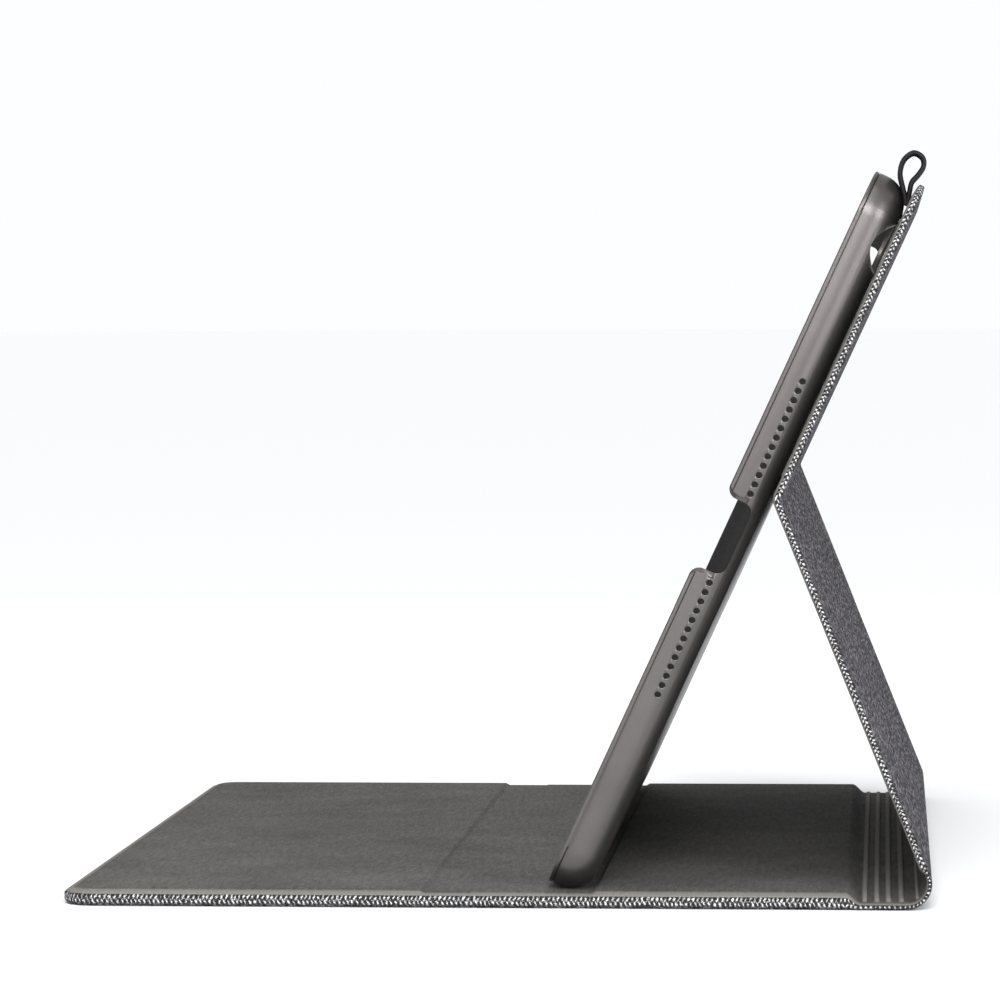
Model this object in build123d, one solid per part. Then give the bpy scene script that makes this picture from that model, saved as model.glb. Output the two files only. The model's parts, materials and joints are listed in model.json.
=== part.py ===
from build123d import *
import os
from math import cos, degrees, radians, sin, sqrt

# A fabric-covered folio stand case for a tablet, standing in its upright viewing position.
# The front cover lies flat, a ribbed spine joins it to the lower back, and the upper back
# carries the moulded tray. X runs across the case, Y along the spine and Z up, in mm.
# The origin is under the middle of the case, on the surface that it stands on. X is laid out
# here from a datum near the middle, and save() moves each piece by middle_x to that origin.

# ---- driving dimensions ----
case_depth = 248.0  # along the spine, Y
outer_corner = 7.5  # plan radius of the covers' free corners
cover_free_x = -100.2  # free edge of the front cover
cover_hinge_x = 76.1  # its hinged edge
spine_start_x = 79.6  # the crease between cover and spine ends here
cover_height = 3.7
cover_channel_height = 3.1  # lining surface in the two stand channels
cover_middle_height = 3.25  # lining surface between them, low enough for the tray to slide over
channels = [(-17.8, -7.8), (9.5, 19.5)]  # the stand channels' edges across X
cover_fabric_thickness = 0.6
lining_thickness = 0.5
lift = 0.05  # the spine hangs this far off the surface

edge_bend = (89.8, 5.65)  # X and Z of the spine's rounded edge: its centre
edge_radius = 5.6  # its outer radius
lower_angle = 111.6  # lower back, degrees up from +X
tray_angle = 65.1  # upper back and tray
tray_back_point = (61.0, 94.2)  # a point of the tray's back plane
strip_layer = 0.6  # each layer of a crease strip: fabric outside, lining inside
panel_thickness = 1.9
panel_fabric = 0.6
panel_lining = 0.5
fold_radius = 3.0  # lining side of the fold between the back panels
board_setback = 2.0  # a board stops this far short of each crease
hem = 0.6  # fabric turned over a board's edge
lining_inset = 0.4

tray_bottom_s = -102.7  # ends of the tray, measured up its back from tray_back_point
tray_top_s = 72.6
tray_width = 244.0
tray_height = 9.3
tray_corner = 10.0
tray_edge_round = 6.5  # back edge
tray_rim_round = 0.35
tray_wall = 1.5
tray_floor = 1.3
adhesive_gap = 0.3
upper_back_top_s = 73.8

rib_centres = [80.4, 83.1, 85.7, 88.6]  # flat ribs of the spine, across X
rib_width = 1.1
rib_height = 0.5
edge_rib_angle = 34.0  # the fifth rib stands on the rounded edge

speaker_pitch = 2.29
speaker_count = 13
speaker_radius = 0.75
speaker_first = 10.9  # first hole from the middle of the short side
speaker_below_rim = 4.95
port_length = 17.1
port_depth = 7.0
port_corner = 2.2
port_rim_round = 2.4
camera_s = 57.5
camera_y = -115.4
camera_radius = 5.4
camera_back_radius = 6.0
camera_chamfer = 0.6

loop_y = -111.0  # middle of the pen loop's band
loop_width = 13.0

tray_half = tray_width / 2
middle_x = (cover_free_x + edge_bend[0] + edge_radius) / 2


def unit(angle):
    """Direction at an angle in the side view, as X and Z."""
    return cos(radians(angle)), sin(radians(angle))


def dot(a, b):
    return a[0] * b[0] + a[1] * b[1]


def step(point, direction, distance):
    return point[0] + direction[0] * distance, point[1] + direction[1] * distance


def place(point, angle):
    """Where a panel made flat, with +X along it and its lining up, stands in the case."""
    return Location((point[0], 0, point[1]), (0, -angle, 0))


def slab(x0, x1, z0, z1, depth, corner=0.0, both_ends=False):
    """A flat sheet or board. Its corners at x0, the free end, or at both ends are rounded."""
    solid = Pos((x0 + x1) / 2, 0, (z0 + z1) / 2) * Box(abs(x1 - x0), depth, z1 - z0)
    if corner <= 0:
        return solid
    upright = solid.edges().filter_by(Axis.Z).sort_by(Axis.X, reverse=x0 > x1)
    return fillet(upright if both_ends else upright[:2], corner)


def bend(centre, r_in, r_out, start, end, depth):
    """A strip that bends round a centre between two angles of the side view."""
    ring = Circle(r_out) - Circle(r_in)
    a, b = unit(start), unit(end)
    reach = 3 * r_out
    corners = [(0, 0), (a[0] * reach, a[1] * reach), (b[0] * reach, b[1] * reach)]
    sector = make_face(Polyline(*corners, close=True))
    face = Plane((centre[0], 0, centre[1]), x_dir=(1, 0, 0), z_dir=(0, -1, 0)) * (ring & sector)
    return extrude(face, depth / 2, both=True)


def covered_panel(x_free, x_hinge, top, fabric, corner):
    """The woven cloth of a panel: a flat sheet with a hem turned up round three edges."""
    inward = 1 if x_hinge > x_free else -1
    sheet = slab(x_free, x_hinge, 0, top, case_depth, corner)
    inside = slab(x_free + inward * hem, x_hinge, fabric, top, case_depth - 2 * hem, corner - hem)
    return sheet - inside


def save(name, shape):
    moved = Pos(-middle_x, 0, 0) * shape
    moved.label = name
    export_step(moved, f"parts/{name}.step")


# ---- side-view geometry of the back ----
lower_along, tray_along = unit(lower_angle), unit(tray_angle)
lower_out = (lower_along[1], -lower_along[0])  # towards the fabric side
tray_out = (tray_along[1], -tray_along[0])
lower_start = step(edge_bend, lower_out, edge_radius)  # fabric side, where the bend ends
lining_offset = dot(lower_out, edge_bend) + edge_radius - panel_thickness
tray_offset = dot(tray_out, tray_back_point) + adhesive_gap
# The fold's centre lies fold_radius outside both lining planes.
a, b = lining_offset + fold_radius, tray_offset + fold_radius
det = lower_out[0] * tray_out[1] - lower_out[1] * tray_out[0]
fold_centre = (
    (a * tray_out[1] - b * lower_out[1]) / det,
    (b * lower_out[0] - a * tray_out[0]) / det,
)
lower_end = step(fold_centre, lower_out, panel_thickness - fold_radius)
lower_length = dot(lower_along, lower_end) - dot(lower_along, lower_start)
upper_start = step(fold_centre, tray_out, panel_thickness - fold_radius)
fold_s = dot(tray_along, upper_start) - dot(tray_along, tray_back_point)
upper_length = upper_back_top_s - fold_s


def front_cover():
    """Cloth, board, three pads, lining and magnets of the panel that lies flat."""
    fabric, depth = cover_fabric_thickness, case_depth - 2 * hem
    board_top = cover_channel_height - lining_thickness
    pad_top = cover_height - lining_thickness
    inner_corner = outer_corner - hem
    save("cover_fabric", covered_panel(cover_free_x, cover_hinge_x, pad_top - 0.2, fabric, outer_corner))
    free, hinge = cover_free_x + hem, cover_hinge_x - hem
    board = slab(free, hinge, fabric, board_top, depth, inner_corner)

    closing = [Box(12, 26, 1.0)] * 4
    places = [(free + 10, y) for y in (-84, -34, 34, 84)]
    closing = [Pos(x, y, board_top - 0.5) * bar for bar, (x, y) in zip(closing, places)]
    stand = [
        Pos((x0 + x1) / 2, y, board_top - 0.5) * Box(6, 70, 1.0)
        for x0, x1 in channels
        for y in (-72, 72)
    ]
    for magnet in closing + stand:
        board -= magnet
    save("cover_board", board)
    save("closing_magnets", Compound(children=closing))
    save("stand_magnets", Compound(children=stand))

    middle_top = cover_middle_height - lining_thickness
    step_wall = lining_thickness  # lining that stands upright at a channel's edge
    spans = {
        "outer": (free, channels[0][0] - step_wall, pad_top),
        "middle": (channels[0][1] + step_wall, channels[1][0] - step_wall, middle_top),
        "inner": (hinge, channels[1][1] + step_wall, pad_top),
    }
    for name, (x0, x1, top) in spans.items():
        corner = inner_corner if name == "outer" else 0
        save(f"cover_pad_{name}", slab(x0, x1, board_top, top, depth, corner))

    # The lining is one sheet that dips into the two channels.
    lining_depth = case_depth - 2 * lining_inset
    lining = slab(cover_free_x + lining_inset, cover_hinge_x, board_top, cover_height, lining_depth,
                  outer_corner - lining_inset)
    below = slab(free, hinge, board_top, pad_top, depth, inner_corner)
    below -= slab(channels[0][1], channels[1][0], middle_top, pad_top, case_depth)
    for x0, x1 in channels:
        below -= slab(x0 - step_wall, x1 + step_wall, board_top, pad_top, case_depth)
    lining -= below
    lining -= slab(channels[0][1], channels[1][0], cover_middle_height, cover_height + 1, case_depth + 1)
    for x0, x1 in channels:
        lining -= slab(x0, x1, cover_channel_height, cover_height + 1, case_depth + 1)
    hem_zone = slab(cover_free_x - 1, cover_hinge_x + 1, 0, pad_top, case_depth + 2)
    hem_zone -= slab(free, hinge, 0, pad_top, depth, inner_corner)
    save("cover_lining", lining - hem_zone)


def spine():
    """The ribbed strip that the case stands on behind the front cover."""
    strip, depth = 2 * strip_layer, case_depth
    layers = {"fabric": (lift, lift + strip_layer), "lining": (lift + strip_layer, lift + strip)}
    for name, (z0, z1) in layers.items():
        save(f"cover_crease_{name}", slab(cover_hinge_x, spine_start_x, z0, z1, depth))
        save(f"spine_{name}", slab(spine_start_x, edge_bend[0], z0, z1, depth))
    top = lift + strip
    rib_depth = case_depth - 6
    for number, x in enumerate(rib_centres, 1):
        rib = slab(x - rib_width / 2, x + rib_width / 2, top, top + rib_height, rib_depth)
        rounded = fillet(rib.edges().filter_by(Axis.Y).sort_by(Axis.Z)[-2:], rib_width / 3)
        save(f"spine_rib_{number}", rounded)


def back_crease():
    """The rounded edge between spine and lower back, with the last rib on it."""
    start, end = -90, lower_angle - 90
    middle, inside = edge_radius - strip_layer, edge_radius - 2 * strip_layer
    save("back_crease_fabric", bend(edge_bend, middle, edge_radius, start, end, case_depth))
    save("back_crease_lining", bend(edge_bend, inside, middle, start, end, case_depth))
    sweep = degrees(rib_width / inside / 2)
    rib_at = edge_rib_angle - 90
    rib = bend(edge_bend, inside - rib_height, inside, rib_at - sweep, rib_at + sweep, case_depth - 6)
    save("spine_rib_5", rib)


def back_panel(name, point, angle, length, holes, tidy_end):
    """Cloth, board and lining of one back panel, made flat and stood up at its angle."""
    at = place(point, angle)
    board_top = panel_thickness - panel_lining
    depth = case_depth - 2 * hem
    corner = outer_corner if tidy_end else 0
    free, hinge = length, 0.0
    if tidy_end:
        fabric = covered_panel(free, hinge, board_top, panel_fabric, corner)
        board = slab(free - hem, board_setback, panel_fabric, board_top, depth, corner - hem)
        lining = slab(free - lining_inset, hinge, board_top, panel_thickness,
                      case_depth - 2 * lining_inset, corner - lining_inset)
    else:
        fabric = slab(hinge, free, 0, board_top, case_depth)
        fabric -= slab(hinge, free, panel_fabric, board_top, depth)
        board = slab(board_setback, free - board_setback, panel_fabric, board_top, depth)
        lining = slab(hinge, free, board_top, panel_thickness, case_depth - 2 * lining_inset)
    for part, solid in {"fabric": fabric, "board": board, "lining": lining}.items():
        save(f"{name}_{part}", at * (solid - holes if holes else solid))


def fold():
    """The crease strip between the two back panels, lining on the outside of the bend."""
    start, end = lower_angle + 90, tray_angle + 90
    middle, inside = fold_radius - strip_layer, fold_radius - 2 * strip_layer
    save("fold_lining", bend(fold_centre, middle, fold_radius, end, start, case_depth))
    save("fold_fabric", bend(fold_centre, inside, middle, end, start, case_depth))


def tray():
    """The moulded tray, made flat with X up its back, Y along the spine and its rim up."""
    length = tray_top_s - tray_bottom_s
    middle_s = (tray_top_s + tray_bottom_s) / 2
    tall = 2 * tray_height

    def pan(grow, z0, z1, corner, edge):
        block = Box(length + 2 * grow, tray_width + 2 * grow, z1 - z0)
        body = Pos(middle_s, 0, (z0 + z1) / 2) * block
        body = fillet(body.edges().filter_by(Axis.Z), corner)
        return fillet(body.faces().sort_by(Axis.Z)[0].edges(), edge) if edge else body

    shell = pan(0, 0, tray_height, tray_corner, tray_edge_round)
    shell -= pan(-tray_wall, tray_floor, tall, tray_corner - tray_wall, tray_edge_round - tray_floor)
    rim = shell.faces().sort_by(Axis.Z)[-1].edges()
    shell = fillet(rim, tray_rim_round)
    groove = pan(1, tray_height - 1.15, tray_height - 0.85, tray_corner + 1, 0)
    groove -= pan(-0.25, tray_height - 2, tray_height, tray_corner - 0.25, 0)
    shell -= groove

    # Speaker holes in the near short side, each with a small countersink.
    hole_z = tray_height - speaker_below_rim
    drop = sqrt(tray_edge_round**2 - (tray_edge_round - hole_z) ** 2)
    surface_y = -tray_half + tray_edge_round - drop
    drill = Cylinder(speaker_radius, 8)
    drill += Pos(0, 0, 0.35) * Cone(speaker_radius, speaker_radius + 0.5, 0.5)
    for side in (-1, 1):
        for i in range(speaker_count):
            s = middle_s + side * (speaker_first + i * speaker_pitch)
            shell -= Pos(s, surface_y, hole_z) * Rot(90, 0, 0) * drill

    # Port cut-out, open at the rim, with a shallow step round it. The rim is rounded down into it.
    outside_y = -tray_half - 1
    for grow, deep_y in ((0.0, -tray_half + 5), (1.0, -tray_half + 0.55)):
        low = tray_height - port_depth - grow
        half, deep = port_length / 2 + grow, deep_y - outside_y
        notch = Pos(0, 0, (low + tall) / 2) * Box(2 * half, deep, tall - low)
        notch = fillet(notch.edges().filter_by(Axis.Y).sort_by(Axis.Z)[:2], port_corner + grow)
        for side in (-1, 1):
            flare = Pos(side * half, 0, tall / 2 + tray_height - port_rim_round)
            flare *= Box(2 * port_rim_round, deep, tall)
            at_arc = Pos(side * (half + port_rim_round), 0, tray_height - port_rim_round)
            flare -= at_arc * Rot(90, 0, 0) * Cylinder(port_rim_round, 2 * deep)
            notch += flare
        shell -= Pos(middle_s, (outside_y + deep_y) / 2, 0) * notch

    # Camera hole near the upper corner, and cut-outs for keys and sockets on the far side.
    shell -= Pos(camera_s, camera_y, 0) * Cylinder(camera_radius, tall)
    at_hole = [
        edge for edge in shell.edges()
        if abs(edge.center().X - camera_s) < 7 and abs(edge.center().Y - camera_y) < 7
        and edge.geom_type != GeomType.LINE and edge.bounding_box().min.Z < 0.01
    ]
    shell = chamfer(at_hole, camera_chamfer)
    slot_z = tray_height - 4.6
    for s, y, along_s, along_y in (
        (tray_top_s, 84.0, 8.0, 26.0),
        (tray_top_s - 20.0, tray_half, 14.0, 8.0),
        (tray_bottom_s + 14.0, tray_half, 7.0, 8.0),
    ):
        slot = Pos(s, y, slot_z) * Box(along_s, along_y, 4.4)
        run = Axis.X if along_y > along_s else Axis.Y
        shell -= fillet(slot.edges().filter_by(run), 1.9)
    return shell


def camera_opening(z0, z1):
    s = camera_s - fold_s
    return Pos(s, camera_y, (z0 + z1) / 2) * Cylinder(camera_back_radius, z1 - z0)


def upper_back():
    """The panel bonded to the tray, the tray, its adhesive and the elastic pen loop."""
    back_panel("upper_back", upper_start, tray_angle, upper_length, camera_opening(-1, 3), True)
    at = place(tray_back_point, tray_angle)
    save("tray_shell", at * tray())
    bond = slab(fold_s + 4, tray_top_s - tray_edge_round - 1, -adhesive_gap, 0, tray_width - 16)
    bond -= Pos(camera_s, camera_y, 0) * Cylinder(camera_radius + 1.5, 4)
    save("tray_adhesive", at * bond)

    # The loop is a band folded into a drop shape, seen from its end, with its tail under the tray.
    outside = [(89.7, 157.1), (89.0, 159.8), (87.9, 163.4), (89.1, 166.9), (91.5, 168.35),
               (93.8, 167.2), (94.2, 164.8), (92.9, 162.6), (91.0, 160.9), (90.1, 158.6)]
    inside = [(89.85, 160.3), (88.85, 163.4), (89.8, 166.1), (91.5, 167.35), (92.95, 166.6),
              (93.15, 164.9), (92.0, 163.2), (90.5, 161.5)]
    side = Plane((0, loop_y, 0), x_dir=(1, 0, 0), z_dir=(0, -1, 0))
    outline = make_face(Spline(*outside, periodic=True)) - make_face(Spline(*inside, periodic=True))
    save("pen_loop", extrude(side * outline, loop_width / 2, both=True))


os.makedirs("parts", exist_ok=True)
front_cover()
spine()
back_crease()
back_panel("lower_back", lower_start, lower_angle, lower_length, None, False)
fold()
upper_back()
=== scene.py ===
import json

import bmesh
import bpy
import mathutils
import numpy as np
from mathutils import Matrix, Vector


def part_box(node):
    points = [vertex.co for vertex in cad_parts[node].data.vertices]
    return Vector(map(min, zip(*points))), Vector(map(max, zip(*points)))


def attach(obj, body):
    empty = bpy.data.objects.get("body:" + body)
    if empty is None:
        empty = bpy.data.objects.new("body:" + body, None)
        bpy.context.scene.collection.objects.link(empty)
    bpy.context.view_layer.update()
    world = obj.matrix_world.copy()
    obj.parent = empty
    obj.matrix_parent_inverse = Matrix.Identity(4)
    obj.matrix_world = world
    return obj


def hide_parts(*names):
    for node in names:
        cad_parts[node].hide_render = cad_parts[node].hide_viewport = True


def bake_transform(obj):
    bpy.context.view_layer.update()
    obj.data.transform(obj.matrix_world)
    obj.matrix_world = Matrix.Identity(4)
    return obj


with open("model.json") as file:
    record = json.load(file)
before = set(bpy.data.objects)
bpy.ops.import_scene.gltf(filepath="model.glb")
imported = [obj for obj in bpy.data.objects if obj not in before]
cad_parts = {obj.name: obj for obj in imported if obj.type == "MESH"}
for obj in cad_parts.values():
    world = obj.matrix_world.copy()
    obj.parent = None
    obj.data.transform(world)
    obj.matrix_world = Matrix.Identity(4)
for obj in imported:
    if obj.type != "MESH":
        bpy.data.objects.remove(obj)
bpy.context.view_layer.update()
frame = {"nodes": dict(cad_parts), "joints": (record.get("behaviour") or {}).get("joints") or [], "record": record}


# ---- Front cover, woven cloth ----
# A coarse polyester cloth of black, grey and white yarns is stretched under the cover's board and
# glued up round three edges. Over the edge its weave opens, and the white yarns stand in rows.
cover_min, cover_max = (np.array(corner) * 1000 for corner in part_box("cover_fabric"))
case_half = cover_max[1]
cover_length = cover_max[0] - cover_min[0]
cover_corner = 7.5
cover_hem_top = 2.6
yarn_pitch = 1.05
cloth_thickness = 0.55
hem_width = 1.9
yarn_relief = 0.09
edge_step = 0.26


class Finish:
    """A node material, with short ways to add a node, to join values and to set the shader."""

    def __init__(self, name):
        self.material = bpy.data.materials.new(name)
        self.material.use_nodes = True
        self.tree = self.material.node_tree
        self.shader = self.tree.nodes["Principled BSDF"]

    def feed(self, socket, value):
        if isinstance(value, bpy.types.Node):
            value = value.outputs[0]
        if isinstance(value, bpy.types.NodeSocket):
            self.tree.links.new(value, socket)
        else:
            socket.default_value = value

    def node(self, kind, settings=None, **inputs):
        made = self.tree.nodes.new("ShaderNode" + kind)
        for key, value in (settings or {}).items():
            setattr(made, key, value)
        for key, value in inputs.items():
            self.feed(made.inputs[key.replace("_", " ")], value)
        return made

    def math(self, operation, *values):
        made = self.node("Math", {"operation": operation})
        for socket, value in zip(made.inputs, values):
            self.feed(socket, value)
        return made

    def ramp(self, value, stops):
        """Grey or colour that goes through the stops, each a place from 0 to 1 and a shade."""
        made = self.node("ValToRGB")
        elements = made.color_ramp.elements
        while len(elements) < len(stops):
            elements.new(0.5)
        for element, (place, shade) in zip(elements, stops):
            element.position = place
            element.color = (*shade, 1) if isinstance(shade, tuple) else (shade, shade, shade, 1)
        self.feed(made.inputs[0], value)
        return made

    def mix(self, amount, a, b, blend="MIX"):
        made = self.node("Mix", {"data_type": "RGBA", "blend_type": blend})
        for index, value in ((0, amount), (6, a), (7, b)):
            self.feed(made.inputs[index], value)
        return made.outputs[2]

    def noise(self, where, scale, detail=2.0, roughness=0.5):
        made = self.node("TexNoise", Vector=where, Scale=scale, Detail=detail, Roughness=roughness)
        return made.outputs["Fac"]

    def surface(self, **inputs):
        for key, value in inputs.items():
            self.feed(self.shader.inputs[key.replace("_", " ")], value)
        return self.material


def woven_cloth():
    """A 2/1 twill in UV millimetres: yarns lie half a pitch apart, and each is dyed in long light
    and dark stretches. On a turned edge the white yarns show as two rows of oval knots, half a
    pitch apart and leaning opposite ways, or as one row of upright knots where the edge is low."""
    f = Finish("woven_cloth")
    uv = f.node("UVMap").outputs[0]
    wander = f.node("TexNoise", Vector=uv, Scale=0.5, Detail=2.0)
    bent = f.node("VectorMath", {"operation": "MULTIPLY_ADD"})
    for socket, value in zip(bent.inputs, (wander.outputs["Color"], (0.7, 0.7, 0.0), uv)):
        f.feed(socket, value)
    axes = f.node("SeparateXYZ", Vector=bent.outputs[0])
    across = f.math("MULTIPLY", axes.outputs[0], 2 / yarn_pitch)
    along = f.math("MULTIPLY", axes.outputs[1], 2 / yarn_pitch)
    column = f.math("FLOOR", across)
    row = f.math("FLOOR", along)
    over = f.math("LESS_THAN", f.math("FLOORED_MODULO", f.math("ADD", column, row), 3.0), 1.5)
    crowns = []
    dyes = []
    for value, number, length in ((along, row, across), (across, column, along)):
        inside = f.math("SUBTRACT", f.math("FRACT", value), 0.5)
        square = f.math("MULTIPLY", inside, inside)
        crowns.append(f.math("SUBTRACT", 1.0, f.math("MULTIPLY", square, 4.0)))
        stretch = f.node("CombineXYZ", X=f.math("MULTIPLY", number, 7.31),
                         Y=f.math("MULTIPLY", length, 0.055))
        dyes.append(f.noise(stretch, 1.0, 1.0))
    both = []
    for pair in (crowns, dyes):
        chosen = f.node("Mix", {"data_type": "FLOAT"})
        for index, value in ((0, over), (2, pair[0]), (3, pair[1])):
            f.feed(chosen.inputs[index], value)
        both.append(chosen)
    crown, dye = both
    fibre = f.noise(uv, 6.0, 3.0)
    clump = f.noise(f.node("Mapping", Vector=uv, Scale=(0.9, 0.32, 1.0)).outputs[0], 1.0, 3.0, 0.7)
    tone = f.math("ADD", f.math("MULTIPLY", dye, 0.45), f.math("MULTIPLY", fibre, 0.2))
    tone = f.math("ADD", tone, f.math("MULTIPLY", clump, 0.35))
    face = f.ramp(tone, [(0.41, (0.006, 0.0055, 0.007)), (0.465, (0.026, 0.024, 0.029)),
                         (0.515, (0.075, 0.07, 0.081)), (0.585, (0.27, 0.26, 0.28))])
    # Painted shade: each yarn's colour darkens towards its sides, where it dips between crowns, down to near
    # black.
    low = f.math("MULTIPLY", f.math("SUBTRACT", 1.0, crown), 0.5)
    shade = f.mix(low, face, (0.015, 0.014, 0.015, 1))

    def value_of(name):
        """A value that the cloth's mesh carries at its points."""
        return f.node("Attribute", {"attribute_name": name}).outputs["Fac"]

    share = value_of("share")
    shift = f.math("MULTIPLY_ADD", f.noise(uv, 1.6, 2.0), 0.9, -0.45)
    beat = f.math("ADD", value_of("beat"), shift)

    def knots(offset, middle, lean, long_half):
        """Oval knots, one to a pitch, round a share of the edge's height and leaning along it."""
        away = f.math("SUBTRACT", share, middle)
        phase = f.math("SUBTRACT", f.math("FRACT", f.math("ADD", beat, offset)), 0.5)
        wide = f.math("DIVIDE", f.math("SUBTRACT", phase, f.math("MULTIPLY", away, lean)), 0.3)
        tall = f.math("DIVIDE", away, long_half)
        reach = f.math("ADD", f.math("MULTIPLY", wide, wide), f.math("MULTIPLY", tall, tall))
        return f.math("SUBTRACT", 1.0, f.math("POWER", reach, 0.5))

    two_rows = f.math("MAXIMUM", knots(0.0, 0.28, 0.75, 0.36), knots(0.5, 0.75, -0.75, 0.34))
    stand = f.node("Mix", {"data_type": "FLOAT"})
    for index, value in ((0, value_of("tall")), (2, knots(0.0, 0.5, 0.0, 0.5)), (3, two_rows)):
        f.feed(stand.inputs[index], value)
    worn = f.math("MULTIPLY_ADD", f.noise(uv, 1.1, 2.0), 1.8, -0.9)
    frayed = f.math("MULTIPLY_ADD", f.noise(uv, 4.5, 2.0), 1.6, -0.8)
    white = f.math("ADD", stand, f.math("ADD", worn, frayed))
    rows = f.ramp(white, [(0.0, 0.02), (0.22, 0.07), (0.55, 0.29), (0.95, 0.7)])
    colour = f.mix(value_of("rim"), shade, rows.outputs[0])
    relief = f.math("ADD", crown, f.math("MULTIPLY", fibre, 0.7))
    bump = f.node("Bump", Strength=0.6, Distance=0.00015, Height=relief)
    return f.surface(Base_Color=colour, Roughness=0.88, Normal=bump, Specular_IOR_Level=0.08)


def ease(x):
    """Smooth step from 0 to 1 as x goes from 0 to 1."""
    x = np.clip(x, 0, 1)
    return x * x * (3 - 2 * x)


def yarn_beat(run):
    """How many yarns an edge has passed: distance over pitch, with two slow waves of unevenness."""
    return run / yarn_pitch + 0.17 * np.sin(run / 3.1) + 0.12 * np.sin(run / 1.27)


def yarn_swell(beat, share):
    """Relief of the yarns on an edge: two waves along it, half a pitch apart at foot and top."""
    wave = np.cos(2 * np.pi * (beat - 0.5))
    return wave * np.sin(np.pi * (np.clip(share, 0, 1) - 0.5)) * np.sin(np.pi * np.clip(share, 0, 1))


def two_row_share(thick):
    """How far an edge shows two rows of knots: 0 up to a millimetre thick, 1 from 1.4."""
    return ease((thick - 1.0) / 0.4)


def cloth_edge(face, top, reach):
    """Section of cloth turned up over an edge, as a closed loop: inset from the edge, height, how
    much its yarns stand, and the share of the edge's height. Quarter circles round both corners."""
    thick = top - face
    low = np.minimum(1.1, 0.42 * thick)
    high = np.minimum(0.4, 0.3 * thick)
    turn = np.linspace(0, np.pi / 2, 8)
    side = np.linspace(0, 1, 9)[1:-1]
    inset = [reach + 0 * turn[:1], low * (1 - np.sin(turn)), 0 * side, high * (1 - np.cos(turn))]
    height = [face + 0 * turn[:1], face + low * (1 - np.cos(turn)),
              face + low + side * (thick - low - high), top - high * (1 - np.sin(turn))]
    stand = [0 * turn[:1], ease((turn - 0.5) / 0.9), 1 + 0 * side, 1 + 0 * turn]
    inset.append(np.array([hem_width, hem_width, low + 0.3, low + cloth_thickness, reach]))
    height.append(np.array([top, top - 0.25, top - 0.25, face + cloth_thickness, face + cloth_thickness]))
    stand.append(np.array([0.7, 0, 0, 0, 0]))
    height = np.concatenate(height)
    start = face + 0.35 * low
    return np.concatenate(inset), height, np.concatenate(stand), (height - start) / (top - start)


def rim_points(length, corner, side, arc_steps, end_steps):
    """Round three sides of a panel whose fourth side is hinged: place along and across the panel,
    the way inwards, and the distance run. Straight, quarter circle, straight, quarter, straight."""
    straight = length - corner
    flat = case_half - corner
    arc = np.linspace(0, np.pi / 2, arc_steps + 1)
    end = np.linspace(-flat, flat, end_steps + 1)
    near = np.stack([side, 0 * side - case_half, 0 * side, 0 * side + 1], 1)
    bend = np.stack([straight + corner * np.sin(arc), -flat - corner * np.cos(arc),
                     -np.sin(arc), np.cos(arc)], 1)
    free = np.stack([0 * end + length, end, 0 * end - 1, 0 * end], 1)
    first = np.concatenate([near, bend[:-1]])
    rim = np.concatenate([first, free, first[::-1] * [1, -1, 1, -1]])
    steps = np.hypot(*np.diff(rim[:, :2], axis=0).T)
    return rim[:, :2], rim[:, 2:], np.concatenate([[0], np.cumsum(steps)]), len(first)


def quads(rows, cols, around=False):
    """Corner indices of a grid's quads, with the last column joined to the first if around."""
    i = np.arange(rows - 1)[:, None]
    j = np.arange(cols if around else cols - 1)[None, :]
    k = (j + 1) % cols
    corners = [i * cols + j, i * cols + k, (i + 1) * cols + k, (i + 1) * cols + j]
    return np.stack(corners, -1).reshape(-1, 4)


def tube_faces(rows, cols):
    """Faces of a grid whose rows are closed rings, with its first and last ring capped."""
    return [*quads(rows, cols, around=True), np.arange(cols)[::-1], (rows - 1) * cols + np.arange(cols)]


def piece_of(name, points, faces, material, uv, **values):
    """A smooth closed mesh, in metres from points in millimetres, with a UV and values at points.
    A negative volume means that its faces point inwards, and it is turned."""
    mesh = bpy.data.meshes.new(name)
    flat = points.reshape(-1, 3) / 1000
    mesh.from_pydata(flat.tolist(), [], [[int(i) for i in face] for face in faces])
    corners = np.empty(len(mesh.loops), np.int32)
    mesh.loops.foreach_get("vertex_index", corners)
    layer = mesh.uv_layers.new(name="UVMap")
    layer.data.foreach_set("uv", uv.reshape(-1, 2)[corners].ravel())
    for key, value in values.items():
        attribute = mesh.attributes.new(key, "FLOAT", "POINT")
        attribute.data.foreach_set("value", value.ravel())
    solid = bmesh.new()
    solid.from_mesh(mesh)
    inside_out = solid.calc_volume(signed=True) < 0
    solid.free()
    if inside_out:
        mesh.flip_normals()
    mesh.polygons.foreach_set("use_smooth", np.ones(len(mesh.polygons), bool))
    mesh.set_sharp_from_angle(angle=np.radians(60))
    mesh.materials.append(material)
    made = bpy.data.objects.new(name, mesh)
    bpy.context.scene.collection.objects.link(made)
    return made


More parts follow.
